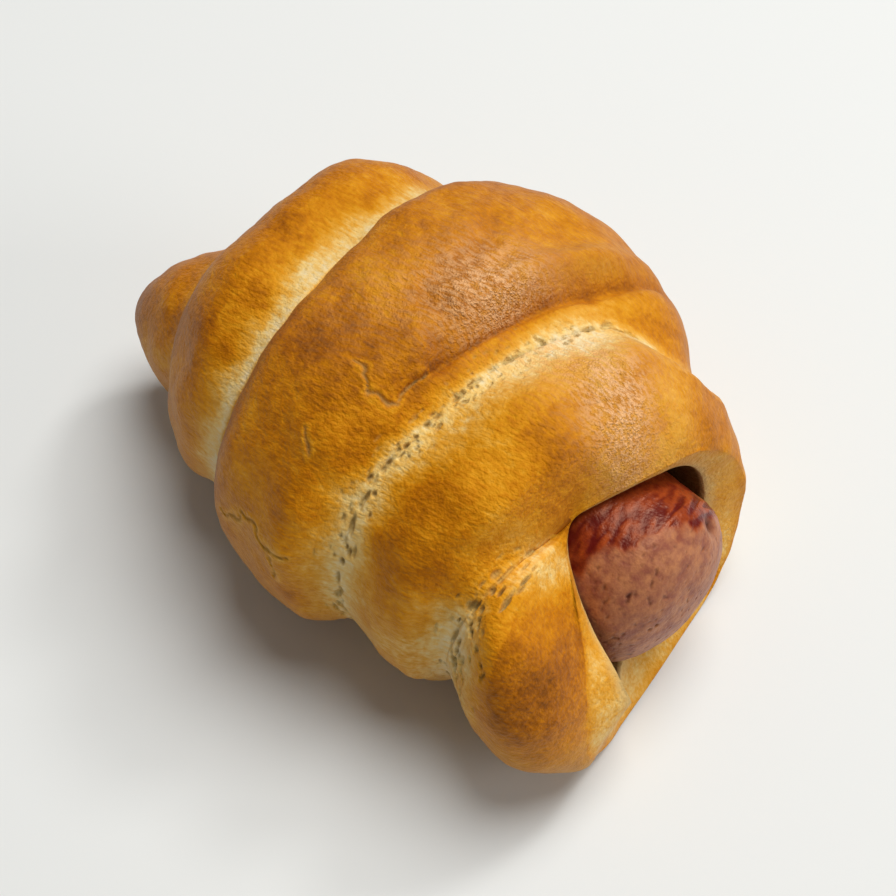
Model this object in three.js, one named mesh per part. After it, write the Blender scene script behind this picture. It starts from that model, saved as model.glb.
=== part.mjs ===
// A bakery sausage roll: one strip of soft egg-washed yeast dough wound in a spiral round a
// thick cooked sausage. It lies on its side. +X runs along the roll to the open end, where
// the sausage shows, and +Z is up. The origin is on the surface under the middle of the roll.
// Lengths are millimetres and angles degrees.
//
// The dough is one solid. Its skin is worked out as a smooth round loaf that is pressed in
// along one spiral seam, the edge of the strip. A place on the skin is given by its place x
// along the roll and its angle round the roll: 0 far side, 90 top, 180 near side, 270
// underside. The seam starts at the tuck beside the mouth and winds towards the tail, so the
// skin falls into lobes, one for each turn. Inside is the hollow that the sausage fills.

import * as THREE from "three";
import { mergeVertices } from "three/addons/utils/BufferGeometryUtils.js";

// ---------------------------------------------------------------- driving sizes, sausage
const SAUSAGE_RADIUS = 13.7;
const SAUSAGE_TIP_X = 50.5; // front of the domed end, just proud of the mouth
const SAUSAGE_TIP_Y = -5.0;
const SAUSAGE_TIP_Z = 18.7; // height of the axis at the mouth
const SAUSAGE_DOME = 8.0; // how far the front end bulges
const SAUSAGE_DOME_POWER = 2.2; // 2 is an ellipse, more is squarer
const SAUSAGE_BEND_X = 2.0; // behind this the axis is straight in plan
const SAUSAGE_BEND_SLOPE = -0.25; // sideways slope of the axis at the tip
const SAUSAGE_BACK_X = -23.0;
const SAUSAGE_BACK_DOME = 12.5;
const SAUSAGE_RISE = 4.3; // the middle lies this much higher than the mouth
const SAUSAGE_RISE_RUN = 45.0; // over this length
const SAUSAGE_LEVEL_X = 44.5; // level from here to the tip
const CLEARANCE = 0.3; // between meat and dough

// ---------------------------------------------------------------- driving sizes, dough
const TAIL_X = -47.0; // tip of the closed end
const TAIL_CAP = 7.5; // length over which the tip rounds off
const SECTION_POWER = 2.25; // squareness of the round sections, 2 is an ellipse
const BASE_BLEND = 1.5; // how softly the sides run into the flat underside
const TUCK = 115; // angle where the strip's start is tucked under the lip

// The loaf without its seam: x, near edge y, far edge y, underside z, top z.
const LOAF = [
  [-47, -5.4, 4.8, 9.5, 24.0], [-39, -9.6, 8.2, 6.5, 29.3], [-32, -14.6, 15.6, 2.5, 36.2],
  [-27, -18.0, 24.6, -0.5, 42.6], [-22, -22.0, 31.5, -1.5, 46.3], [-8, -30.3, 34.4, -2.5, 50.5],
  [5, -33.8, 38.5, -2.5, 51.5], [18, -32.8, 37.2, -2.5, 49.2], [30, -34.0, 31.0, -2.0, 46.2],
  [40, -36.4, 24.6, -1.5, 42.5], [50, -34.5, 18.0, -1.5, 36.0],
];

// The spiral seam, counted on in degrees from the tuck to the tail: angle, x.
const SEAM = [
  [115, 33.4], [132, 32.3], [152, 30.2], [165, 28.4], [180, 27.6], [200, 28.2], [235, 31.0],
  [270, 34.5], [300, 36.6], [330, 37.8], [360, 37.9], [378, 36.9], [390, 34.8], [400, 30.8],
  [408, 27.2], [414.5, 24.4], [431, 21.0], [459, 16.4], [481, 14.0], [497, 11.6], [514, 10.4],
  [533, 10.3], [556, 11.3], [590, 8.0], [630, 3.5], [690, -1.6], [735, -4.3], [765, -8.0],
  [800, -10.6], [845, -12.1], [882, -13.8], [940, -18.0], [990, -21.0], [1040, -26.0],
  [1080, -29.2], [1110, -30.6], [1172, -31.0], [1240, -30.0], [1260, -31.0], [1350, -37.0],
  [1440, -47.0],
];
const SEAM_END = 1440;

// The seam's shape: angle, depth, width of the flank on its tail side, width of the shoulder
// on its mouth side, and how round that shoulder is (1 a full round edge, 0 a soft slope).
const SEAM_SHAPE = [
  [115, 8.0, 10, 5, 0.0], [150, 4.0, 9, 6, 0.2], [180, 3.6, 7, 6, 0.3], [200, 3.6, 6, 6, 0.3],
  [270, 3.0, 9, 6, 0.3], [370, 3.4, 9, 8, 0.2], [430, 3.6, 10, 10, 0.0], [520, 3.4, 9, 10, 0.0],
  [560, 3.6, 7.5, 11, 0.1], [630, 3.0, 8, 6, 0.5], [735, 3.6, 11, 4.5, 1.0],
  [800, 3.8, 13, 4, 1.0], [880, 3.2, 10, 4, 1.0], [990, 3.0, 8, 4, 1.0], [1080, 2.4, 7, 4, 1.0],
  [1170, 2.4, 7, 4, 1.0], [1250, 2.4, 7, 4, 1.0], [1330, 0.6, 5, 4, 1.0], [1350, 0.0, 4, 4, 1.0],
  [1440, 0.0, 3, 3, 1.0],
];

// The stretch fold beside the seam, on its tail side: angle counted on, x, depth.
const FOLD = [
  [376, 28.4, 0.0], [386.5, 25.4, 0.8], [398, 23.1, 1.4], [410, 20.4, 1.7], [422, 17.6, 1.7],
  [436, 15.2, 1.6], [450, 13.1, 1.4], [465, 10.9, 1.1], [479, 8.6, 0.7], [492, 6.6, 0.0],
];
const FOLD_WIDTH = 2.2;
const SWELL_BACK = 3.4; // the dough swells this far behind the fold
const SWELL_WIDTH = 3.2;
const SWELL_SHARE = 0.6; // height of the swell as a share of the fold's depth

// The mouth: angle, x of its edge, dough beyond the sausage there, length of the flank that
// runs down to it, gap to the sausage, how far the lip bulges, how far its inside is set back,
// and how round the flank is.
const MOUTH = [
  [-90, 48.6, 5.0, 5, 0.3, 0.3, 5.0, 0.8], [-60, 48.8, 6.8, 6, 0.4, 0.3, 4.0, 0.9],
  [-30, 49.2, 8.2, 7, 0.7, 0.3, 2.5, 0.9], [0, 47.6, 7.2, 7, 1.8, 0.3, 2.0, 0.9],
  [20, 45.2, 5.2, 7, 2.6, 0.2, 1.5, 0.95], [45, 41.8, 3.0, 5.5, 2.4, 0.1, 1.0, 0.95],
  [70, 38.2, 1.9, 4.5, 1.0, 0.1, 0.6, 0.95], [90, 35.7, 1.5, 4.2, 0.5, 0.1, 0.4, 0.95],
  [107, 33.9, 1.5, 4.6, 0.4, 0.1, 0.4, 0.9], [118, 33.35, 1.5, 5.5, 0.4, 0.1, 0.5, 0.8],
  [130, 34.6, 1.6, 7, 0.4, 0.1, 0.6, 0.8], [145, 37.8, 2.2, 8, 0.4, 0.2, 0.8, 0.9],
  [160, 42.0, 3.8, 9, 0.4, 0.1, 0.8, 1.0], [175, 46.0, 7.2, 10, 0.4, 0.0, 0.5, 1.0],
  [195, 48.6, 10.0, 9.5, 0.6, 0.0, 1.0, 1.0], [220, 48.8, 9.0, 9, 0.9, 0.0, 3.2, 1.0],
  [245, 48.4, 6.6, 6, 0.5, 0.1, 4.6, 0.9], [270, 48.6, 5.0, 5, 0.3, 0.3, 5.0, 0.8],
];
const MOUTH_DEPTH = 14.0; // how far inside the gap closes
const TUCK_SPREAD = 9.0; // distance from the lip at which the seam has its own depth
const FULL_LOBE = 11.0; // a lobe at least this wide rises to the full loaf

// ---------------------------------------------------------------- how finely it is faceted
const COLUMNS = 72; // steps round the roll
const LOBE_STEPS = 11; // steps across one lobe
const LIP_STEPS = 5;
const HOLLOW_STEPS = 7;
const DOME_STEPS = 5;
const SAUSAGE_COLUMNS = 40;
const SAUSAGE_STEPS = 9;
const WELD = 1e-4;

const LOBES = 6;
const UNDERSIDE = -90; // every turn is counted from the underside to the underside
const TURN = 360;

const radians = (degrees) => (degrees * Math.PI) / 180;
const clamp01 = (t) => Math.min(Math.max(t, 0), 1);
const soft = (t) => clamp01(t) ** 2 * (3 - 2 * clamp01(t));
const mix = (a, b, t) => a + (b - a) * t;
const hump = (distance, reach) => Math.exp(-2 * (distance / reach) ** 2);

// Smooth curve through one column of a table, with the slope at a knot taken from the knots
// beside it.
function curve(table, column) {
  const at = table.map((row) => row[0]);
  const value = table.map((row) => row[column]);
  const last = at.length - 1;
  const slope = at.map((_, i) => {
    const a = Math.max(i - 1, 0);
    const b = Math.min(i + 1, last);
    return (value[b] - value[a]) / (at[b] - at[a]);
  });
  return (position) => {
    const p = Math.min(Math.max(position, at[0]), at[last]);
    let i = 0;
    while (i < last - 1 && p >= at[i + 1]) i += 1;
    const h = at[i + 1] - at[i];
    const t = (p - at[i]) / h;
    const a = (2 * t - 3) * t * t + 1;
    const b = ((t - 2) * t + 1) * t * h;
    const c = (3 - 2 * t) * t * t;
    const d = (t - 1) * t * t * h;
    return a * value[i] + b * slope[i] + c * value[i + 1] + d * slope[i + 1];
  };
}

// ---------------------------------------------------------------- the sausage's own frame
const bend = SAUSAGE_BEND_SLOPE / (SAUSAGE_TIP_X - SAUSAGE_BEND_X);
const straightY = SAUSAGE_TIP_Y - (bend / 2) * (SAUSAGE_TIP_X - SAUSAGE_BEND_X) ** 2;
const bentLength = (x) => Math.max(x - SAUSAGE_BEND_X, 0);
const axisY = (x) => straightY + (bend / 2) * bentLength(x) ** 2;
const axisYaw = (x) => Math.atan(bend * bentLength(x));
const axisZ = (x) => SAUSAGE_TIP_Z + SAUSAGE_RISE * soft((SAUSAGE_LEVEL_X - x) / SAUSAGE_RISE_RUN);

// Point at a radius and angle round the sausage's axis, square to the axis in plan.
function roundSausage(x, radius, angle) {
  const yaw = axisYaw(x);
  const side = radius * Math.cos(angle);
  return [x - side * Math.sin(yaw), axisY(x) + side * Math.cos(yaw), axisZ(x) + radius * Math.sin(angle)];
}

// The same the other way round: axis place, radius and angle of a point.
function inSausageFrame([px, py, pz]) {
  let x = px;
  for (let step = 0; step < 6; step += 1) {
    const yaw = axisYaw(x);
    x += (px - x) * Math.cos(yaw) ** 2 + (py - axisY(x)) * Math.sin(yaw) * Math.cos(yaw);
  }
  const yaw = axisYaw(x);
  const side = (py - axisY(x)) * Math.cos(yaw) - (px - x) * Math.sin(yaw);
  const up = pz - axisZ(x);
  return { x, radius: Math.hypot(side, up), angle: Math.atan2(up, side) };
}

// ---------------------------------------------------------------- the dough's skin
const [nearY, farY, undersideZ, topZ] = [1, 2, 3, 4].map((column) => curve(LOAF, column));
const seamX = curve(SEAM, 1);
const [seamDepth, tailFlank, mouthShoulder, roundness] = [1, 2, 3, 4].map((column) =>
  curve(SEAM_SHAPE, column),
);
const [foldX, foldDepth] = [1, 2].map((column) => curve(FOLD, column));
const [mouthX, mouthWall, mouthFlank, mouthGap] = [1, 2, 3, 4].map((column) => curve(MOUTH, column));
const [lipBulge, lipSetBack, lipRoundness] = [5, 6, 7].map((column) => curve(MOUTH, column));

// Middle and radius of the plain loaf at a place along it.
function loaf(x, angle) {
  const halfWidth = (farY(x) - nearY(x)) / 2;
  const halfHeight = (topZ(x) - undersideZ(x)) / 2;
  const cap = Math.sqrt(1 - clamp01((TAIL_X + TAIL_CAP - x) / TAIL_CAP) ** 2);
  const across = Math.abs(Math.cos(radians(angle)) / halfWidth) ** SECTION_POWER;
  const upward = Math.abs(Math.sin(radians(angle)) / halfHeight) ** SECTION_POWER;
  return {
    y: (farY(x) + nearY(x)) / 2,
    z: (topZ(x) + undersideZ(x)) / 2,
    radius: cap * (across + upward) ** (-1 / SECTION_POWER),
  };
}

// Flattens the underside to z = 0 with a soft edge.
function onBase(z) {
  if (z >= BASE_BLEND) return z;
  if (z <= -BASE_BLEND) return 0;
  return (z + BASE_BLEND) ** 2 / (4 * BASE_BLEND);
}

// Point of the skin, pressed in from the plain loaf.
function skin(x, angle, pressedIn) {
  const { y, z, radius } = loaf(x, angle);
  const r = radius - pressedIn;
  return [x, y + r * Math.cos(radians(angle)), onBase(z + r * Math.sin(radians(angle)))];
}

// How far the loaf is pressed in at the mouth's edge, down to the wall round the sausage.
function mouthPress(angle) {
  const x = mouthX(angle);
  const { y, z, radius } = loaf(x, angle);
  const dy = y - axisY(x);
  const dz = z - axisZ(x);
  const reach = SAUSAGE_RADIUS + mouthGap(angle) + mouthWall(angle);
  const along = dy * Math.cos(radians(angle)) + dz * Math.sin(radians(angle));
  return radius + along - Math.sqrt(along ** 2 - dy ** 2 - dz ** 2 + reach ** 2);
}

// How far the first stretch of the seam has left the lip: 0 on it, 1 clear of it.
function awayFromLip(angle) {
  if (angle <= TUCK) return 0;
  return soft((mouthX(angle) - seamX(angle)) / TUCK_SPREAD);
}

// Edge between two lobes, by the number of turns from the mouth; -1 is the mouth itself and
// the last one the tip of the tail.
function lobeEdge(turn, angle) {
  const counted = angle + TURN * turn;
  const away = turn === 0 ? awayFromLip(angle) : 1;
  if (turn < 0 || away === 0) return { x: mouthX(angle), press: mouthPress(angle) };
  if (counted >= SEAM_END) return { x: TAIL_X, press: 0 };
  if (turn > 0) return { x: seamX(counted), press: seamDepth(counted) };
  return { x: seamX(counted), press: mix(mouthPress(angle), seamDepth(counted), away) };
}

// Width of the flank that runs down to a lobe's edge on its mouth side.
function flankWidth(turn, angle) {
  if (turn === 0) return mouthFlank(angle);
  if (turn > 1) return tailFlank(angle + TURN * (turn - 1));
  return mix(mouthFlank(Math.min(angle, TUCK)), tailFlank(angle), awayFromLip(angle));
}

const slopeShape = (t) => (1 + Math.cos(Math.PI * clamp01(t))) / 2;
const roundShape = (t) => 1 - Math.sqrt(1 - (1 - clamp01(t)) ** 2);

// How far the stretch fold presses a place in, less the swell behind it.
function foldPress(counted, x) {
  const off = x - foldX(counted);
  const swell = SWELL_SHARE * hump(off + SWELL_BACK, SWELL_WIDTH);
  return foldDepth(counted) * (hump(off, FOLD_WIDTH) - swell);
}

// How much of a lobe's edge lies on the lip of the mouth: all of it, a part or nothing.
function onLip(turn, angle) {
  if (turn === 0) return 1;
  return turn === 1 ? 1 - awayFromLip(angle) : 0;
}

// Point of a lobe: share runs from its tail side edge (0) to its mouth side edge (1).
function lobePoint(turn, share, angle) {
  if (angle === UNDERSIDE + TURN) return lobePoint(turn + 1, share, UNDERSIDE);
  const left = lobeEdge(turn, angle);
  const right = lobeEdge(turn - 1, angle);
  const width = right.x - left.x;
  if (share === 1 || width === 0) return skin(right.x, angle, right.press);
  if (share === 0) return skin(left.x, angle, left.press);
  const x = left.x + width * share;
  const counted = angle + TURN * turn;
  const fromLeft = (x - left.x) / Math.min(mouthShoulder(counted), width / 2);
  const fromRight = (right.x - x) / Math.min(flankWidth(turn, angle), 0.9 * width);
  const shoulder = mix(slopeShape(fromLeft), roundShape(fromLeft), roundness(counted));
  const rounded = onLip(turn, angle) * lipRoundness(angle);
  const edge = mix(slopeShape(fromRight), roundShape(fromRight), rounded);
  const risen = left.press * shoulder + right.press * edge;
  const flat = mix(left.press, right.press, share);
  const press = mix(flat, risen, soft(width / FULL_LOBE));
  return skin(x, angle, press + foldPress(counted - TURN, x));
}

// ---------------------------------------------------------------- meshes from rows of points
// One closed mesh from strips, each a list of rows of points; rows that meet are welded.
function weldedMesh(name, strips, material) {
  const positions = [];
  const index = [];
  for (const rows of strips) {
    const first = positions.length / 3;
    const across = rows[0].length;
    for (const point of rows.flat()) positions.push(...point);
    for (let r = 0; r + 1 < rows.length; r += 1) {
      for (let c = 0; c + 1 < across; c += 1) {
        const a = first + r * across + c;
        const b = a + across;
        index.push(a, b + 1, b, a, a + 1, b + 1);
      }
    }
  }
  const loose = new THREE.BufferGeometry();
  loose.setAttribute("position", new THREE.Float32BufferAttribute(positions, 3));
  loose.setIndex(index);
  const welded = mergeVertices(loose, WELD);
  const corners = Array.from(welded.index.array);
  const kept = [];
  for (let i = 0; i < corners.length; i += 3) {
    const [a, b, c] = corners.slice(i, i + 3);
    if (a !== b && b !== c && c !== a) kept.push(a, b, c);
  }
  welded.setIndex(kept);
  welded.computeVertexNormals();
  const mesh = new THREE.Mesh(welded, material);
  mesh.name = name;
  return mesh;
}

const steps = (count) => Array.from({ length: count + 1 }, (_, i) => i / count);
const angles = steps(COLUMNS).map((t) => UNDERSIDE + TURN * t);

// Closer steps at both edges of a lobe, where the skin bends most.
const edgeSteps = steps(LOBE_STEPS).map((t) => mix(t, Math.sin((Math.PI / 2) * t) ** 2, 0.6));

function doughLobe(turn) {
  return edgeSteps.map((share) => angles.map((angle) => lobePoint(turn, share, angle)));
}

// The lip and the hollow behind it, from the mouth's edge back to the closed end.
function doughHollow() {
  const rim = angles.map((_, i) => angles[i % COLUMNS]).map((angle) => {
    const point = skin(mouthX(angle), angle, mouthPress(angle));
    const innerRadius = SAUSAGE_RADIUS + mouthGap(angle);
    const shape = { innerRadius, bulge: lipBulge(angle), setBack: lipSetBack(angle) };
    return { point, ...inSausageFrame(point), ...shape };
  });
  const lip = steps(LIP_STEPS).map((t) =>
    rim.map((edge) => {
      if (t === 0) return edge.point;
      const inward = (1 - Math.cos(Math.PI * t)) / 2;
      const x = edge.x + edge.bulge * Math.sin(Math.PI * t) - edge.setBack * inward;
      const [px, py, pz] = roundSausage(x, mix(edge.radius, edge.innerRadius, inward), edge.angle);
      return [px, py, Math.max(pz, 0)];
    }),
  );
  const domeStart = SAUSAGE_BACK_X + SAUSAGE_BACK_DOME;
  const bore = steps(HOLLOW_STEPS).map((t) =>
    rim.map((edge) => {
      const start = edge.x - edge.setBack;
      const x = mix(start, domeStart, t ** 1.4);
      const open = clamp01(1 - (start - x) / MOUTH_DEPTH) ** 1.5;
      const gap = mix(CLEARANCE, edge.innerRadius - SAUSAGE_RADIUS, open);
      return roundSausage(x, SAUSAGE_RADIUS + gap, edge.angle);
    }),
  );
  const end = steps(DOME_STEPS).map((t) =>
    rim.map((edge) => {
      const turned = (Math.PI / 2) * t;
      const radius = (SAUSAGE_RADIUS + CLEARANCE) * (t < 1 ? Math.cos(turned) : 0);
      const x = domeStart - (SAUSAGE_BACK_DOME + CLEARANCE) * Math.sin(turned);
      return roundSausage(x, radius, edge.angle);
    }),
  );
  return [lip, bore, end];
}

function makeDough() {
  const crust = new THREE.MeshStandardMaterial({ color: 0xc98a35, roughness: 0.42, metalness: 0 });
  const lobes = Array.from({ length: LOBES }, (_, turn) => doughLobe(turn));
  return weldedMesh("dough", [...lobes, ...doughHollow()], crust);
}

function makeSausage() {
  const meat = new THREE.MeshStandardMaterial({ color: 0x9c5a4c, roughness: 0.38, metalness: 0 });
  const round = steps(SAUSAGE_COLUMNS).map((t) => (t < 1 ? t : 0) * 2 * Math.PI);
  const frontStart = SAUSAGE_TIP_X - SAUSAGE_DOME;
  const backStart = SAUSAGE_BACK_X + SAUSAGE_BACK_DOME;
  const ring = (x, radius) => round.map((angle) => roundSausage(x, radius, angle));
  const back = steps(DOME_STEPS).map((t) => {
    const turned = (Math.PI / 2) * (1 - t);
    const radius = SAUSAGE_RADIUS * (t > 0 ? Math.cos(turned) : 0);
    return ring(backStart - SAUSAGE_BACK_DOME * Math.sin(turned), radius);
  });
  const middle = steps(SAUSAGE_STEPS).map((t) => ring(mix(backStart, frontStart, t), SAUSAGE_RADIUS));
  const front = steps(DOME_STEPS).map((t) => {
    const along = Math.sin((Math.PI / 2) * t);
    const across = t < 1 ? Math.cos((Math.PI / 2) * t) : 0;
    const size = (along ** SAUSAGE_DOME_POWER + across ** SAUSAGE_DOME_POWER) ** (-1 / SAUSAGE_DOME_POWER);
    return ring(frontStart + SAUSAGE_DOME * along * size, SAUSAGE_RADIUS * across * size);
  });
  return weldedMesh("sausage", [back, middle, front], meat);
}

// The roll is drawn about its own axis and then moved so that the origin is under its middle.
const roll = new THREE.Group();
roll.add(makeDough());
roll.add(makeSausage());
const middle = new THREE.Box3().setFromObject(roll).getCenter(new THREE.Vector3());
roll.position.set(-middle.x, -middle.y, 0);

const group = new THREE.Group();
group.add(roll);

export default group;
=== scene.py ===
# %% [markdown]
# # A bakery sausage roll
# One strip of soft, egg-washed yeast dough is wound in a spiral round a thick sausage and
# baked. The roll lies on its side: +X runs along it to the open end where the sausage shows,
# +Z is up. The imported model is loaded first. It stays where it is, and every piece here is
# made in its frame, in metres.

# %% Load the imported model
import math

import bpy
import numpy as np
from mathutils import Matrix, Vector


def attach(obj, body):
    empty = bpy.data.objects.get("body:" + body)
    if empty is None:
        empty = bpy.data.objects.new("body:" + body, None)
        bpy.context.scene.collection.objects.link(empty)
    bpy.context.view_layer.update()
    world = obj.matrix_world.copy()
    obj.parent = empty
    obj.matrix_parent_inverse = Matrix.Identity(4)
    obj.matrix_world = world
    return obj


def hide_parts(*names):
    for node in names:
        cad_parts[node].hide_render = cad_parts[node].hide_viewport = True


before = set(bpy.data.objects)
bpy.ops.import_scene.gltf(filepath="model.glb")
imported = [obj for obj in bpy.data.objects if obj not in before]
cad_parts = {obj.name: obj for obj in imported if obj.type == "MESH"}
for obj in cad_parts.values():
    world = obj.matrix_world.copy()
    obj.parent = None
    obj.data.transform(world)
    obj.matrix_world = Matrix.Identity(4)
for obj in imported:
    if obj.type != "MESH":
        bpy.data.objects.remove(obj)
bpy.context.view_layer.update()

print("nodes", sorted(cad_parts))

# %% [markdown]
# ## Curves through a few named sizes
# The real loaf has no straight line in it, so its sizes are given at a few places and a smooth
# curve runs through them. A Blender curve object could do this too, but a formula gives the
# value anywhere at once, for a whole array of places.

# %% Smooth curves and steps
MM = 0.001
TINY = 1e-9


def curve(table, column):
    at = np.array([row[0] for row in table], float)
    value = np.array([row[column] for row in table], float)
    before = np.maximum(np.arange(len(at)) - 1, 0)
    after = np.minimum(np.arange(len(at)) + 1, len(at) - 1)
    slope = (value[after] - value[before]) / (at[after] - at[before])

    def look_up(place):
        p = np.clip(place, at[0], at[-1])
        i = np.clip(np.searchsorted(at, p, side="right") - 1, 0, len(at) - 2)
        h = at[i + 1] - at[i]
        t = (p - at[i]) / h
        start = ((2 * t - 3) * t * t + 1) * value[i] + ((t - 2) * t + 1) * t * h * slope[i]
        return start + (3 - 2 * t) * t * t * value[i + 1] + (t - 1) * t * t * h * slope[i + 1]

    return look_up


def soft(t):
    t = np.clip(t, 0, 1)
    return t * t * (3 - 2 * t)


def mix(a, b, t):
    return a + (b - a) * t


def hump(distance, reach):
    """1 at a place, falling smoothly to 0 at a distance from it."""
    return np.exp(-((distance / reach) ** 2) * 2.0)


def span(values):
    """Least and greatest of some values, short enough to print."""
    return [round(float(end), 2) for end in (np.min(values), np.max(values))]


print("a hump runs from 1 down to", span(hump(1.0, 1.0))[0], "at its reach")


# %% [markdown]
# ## The sausage's own frame
# The sausage is a nearly straight, round bar with domed ends. Its axis bends slightly towards
# the open end, so a point on it is given by a place along the axis, a radius and an angle.

# %% Sausage frame
SAUSAGE_RADIUS = 13.7
TIP = (50.5, -5.0, 18.7)  # front of the domed end
BEND_X, BEND_SLOPE = 2.0, -0.25  # where the axis starts to bend, and its slope at the tip
BACK_X, BACK_DOME, FRONT_DOME, FRONT_POWER = -23.0, 12.5, 8.0, 2.2
RISE, RISE_RUN, LEVEL_X = 4.3, 45.0, 44.5  # the middle lies a little higher than the mouth
CLEARANCE = 0.3  # between meat and dough
AXIS_STEPS = 6

bend = BEND_SLOPE / (TIP[0] - BEND_X)
straight_y = TIP[1] - (bend / 2) * (TIP[0] - BEND_X) ** 2


def axis_y(x):
    return straight_y + (bend / 2) * np.maximum(x - BEND_X, 0) ** 2


def axis_yaw(x):
    return np.arctan(bend * np.maximum(x - BEND_X, 0))


def axis_z(x):
    return TIP[2] + RISE * soft((LEVEL_X - x) / RISE_RUN)


def round_sausage(x, radius, angle):
    side = radius * np.cos(angle)
    return np.stack([
        x - side * np.sin(axis_yaw(x)),
        axis_y(x) + side * np.cos(axis_yaw(x)),
        axis_z(x) + radius * np.sin(angle),
    ], axis=-1)


def in_sausage_frame(point):
    px, py, pz = np.moveaxis(point, -1, 0)
    x = px.copy()
    for _ in range(AXIS_STEPS):
        yaw = axis_yaw(x)
        x += (px - x) * np.cos(yaw) ** 2 + (py - axis_y(x)) * np.sin(yaw) * np.cos(yaw)
    yaw = axis_yaw(x)
    side = (py - axis_y(x)) * np.cos(yaw) - (px - x) * np.sin(yaw)
    up = pz - axis_z(x)
    return x, np.hypot(side, up), np.arctan2(up, side)


print("sausage", 2 * SAUSAGE_RADIUS, "mm thick")

# %% [markdown]
# ## The loaf and its spiral seam
# A baker rolls a long strip of dough round the sausage, and each turn swells into a lobe. The
# roll could be sculpted by hand, or swept along a spiral. Here it is worked out as a smooth
# loaf that is pressed in along one spiral seam, because then the outline of the loaf, the
# course of the seam and the depth of the seam can each be matched on their own. Angles go
# round the roll: 0 is the far side, 90 the top, 180 the near side and 270 the underside.

# %% Sizes of the dough, in millimetres and degrees
TAIL_X, TAIL_CAP = -47.0, 7.5  # tip of the closed end, and the length that rounds it off
SECTION_POWER = 2.25  # squareness of the round sections, 2 is an ellipse
BASE_BLEND = 1.5  # how softly the sides run into the flat underside
TUCK, TUCK_SPREAD = 115, 9.0  # angle where the strip's start is tucked under the lip
FULL_LOBE = 11.0  # a lobe at least this wide rises to the full loaf
WIDEST_FLANK = 0.9  # share of a lobe that its flank may take
MOUTH_DEPTH = 14.0  # how far inside the gap round the sausage closes
UNDERSIDE, TURN, SEAM_END, LOBES = -90, 360, 1440, 6

# place along the roll, near edge, far edge, underside, top
LOAF = [
    (-47, -5.4, 4.8, 9.5, 24.0), (-39, -9.6, 8.2, 6.5, 29.3), (-32, -14.6, 15.6, 2.5, 36.2),
    (-27, -18.0, 24.6, -0.5, 42.6), (-22, -22.0, 31.5, -1.5, 46.3), (-8, -30.3, 34.4, -2.5, 50.5),
    (5, -33.8, 38.5, -2.5, 51.5), (18, -32.8, 37.2, -2.5, 49.2), (30, -34.0, 31.0, -2.0, 46.2),
    (40, -36.4, 24.6, -1.5, 42.5), (50, -34.5, 18.0, -1.5, 36.0),
]
# angle counted on from the tuck by the mouth to the tail, place of the seam there
SEAM = [
    (115, 33.4), (132, 32.3), (152, 30.2), (165, 28.4), (180, 27.6), (200, 28.2), (235, 31.0),
    (270, 34.5), (300, 36.6), (330, 37.8), (360, 37.9), (378, 36.9), (390, 34.8), (400, 30.8),
    (408, 27.2), (414.5, 24.4), (431, 21.0), (459, 16.4), (481, 14.0), (497, 11.6), (514, 10.4),
    (533, 10.3), (556, 11.3), (590, 8.0), (630, 3.5), (690, -1.6), (735, -4.3), (765, -8.0),
    (800, -10.6), (845, -12.1), (882, -13.8), (940, -18.0), (990, -21.0), (1040, -26.0),
    (1080, -29.2), (1110, -30.6), (1172, -31.0), (1240, -30.0), (1260, -31.0), (1350, -37.0),
    (1440, -47.0),
]
# angle, depth of the seam, flank on its tail side, shoulder on its mouth side, roundness of it
SEAM_SHAPE = [
    (115, 8.0, 10, 5, 0.0), (150, 4.0, 9, 6, 0.2), (180, 3.6, 7, 6, 0.3), (200, 3.6, 6, 6, 0.3),
    (270, 3.0, 9, 6, 0.3), (370, 3.4, 9, 8, 0.2), (430, 3.6, 10, 10, 0.0), (520, 3.4, 9, 10, 0.0),
    (560, 3.6, 7.5, 11, 0.1), (630, 3.0, 8, 6, 0.5), (735, 3.6, 11, 4.5, 1.0), (800, 3.8, 13, 4, 1.0),
    (880, 3.2, 10, 4, 1.0), (990, 3.0, 8, 4, 1.0), (1080, 2.4, 7, 4, 1.0), (1170, 2.4, 7, 4, 1.0),
    (1250, 2.4, 7, 4, 1.0), (1330, 0.6, 5, 4, 1.0), (1350, 0.0, 4, 4, 1.0), (1440, 0.0, 3, 3, 1.0),
]
# angle, edge of the mouth, dough beyond the sausage, flank down to the edge, gap to the
# sausage, bulge of the lip, how far its inside is set back, how round the flank is
MOUTH = [
    (-90, 48.6, 5.0, 5, 0.3, 0.3, 5.0, 0.8), (-60, 48.8, 6.8, 6, 0.4, 0.3, 4.0, 0.9),
    (-30, 49.2, 8.2, 7, 0.7, 0.3, 2.5, 0.9), (0, 47.6, 7.2, 7, 1.8, 0.3, 2.0, 0.9),
    (20, 45.2, 5.2, 7, 2.6, 0.2, 1.5, 0.95), (45, 41.8, 3.0, 5.5, 2.4, 0.1, 1.0, 0.95),
    (70, 38.2, 1.9, 4.5, 1.0, 0.1, 0.6, 0.95), (90, 35.7, 1.5, 4.2, 0.5, 0.1, 0.4, 0.95),
    (107, 33.9, 1.5, 4.6, 0.4, 0.1, 0.4, 0.9), (118, 33.35, 1.5, 5.5, 0.4, 0.1, 0.5, 0.8),
    (130, 34.6, 1.6, 7, 0.4, 0.1, 0.6, 0.8), (145, 37.8, 2.2, 8, 0.4, 0.2, 0.8, 0.9),
    (160, 42.0, 3.8, 9, 0.4, 0.1, 0.8, 1.0), (175, 46.0, 7.2, 10, 0.4, 0.0, 0.5, 1.0),
    (195, 48.6, 10.0, 9.5, 0.6, 0.0, 1.0, 1.0), (220, 48.8, 9.0, 9, 0.9, 0.0, 3.2, 1.0),
    (245, 48.4, 6.6, 6, 0.5, 0.1, 4.6, 0.9), (270, 48.6, 5.0, 5, 0.3, 0.3, 5.0, 0.8),
]
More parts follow.
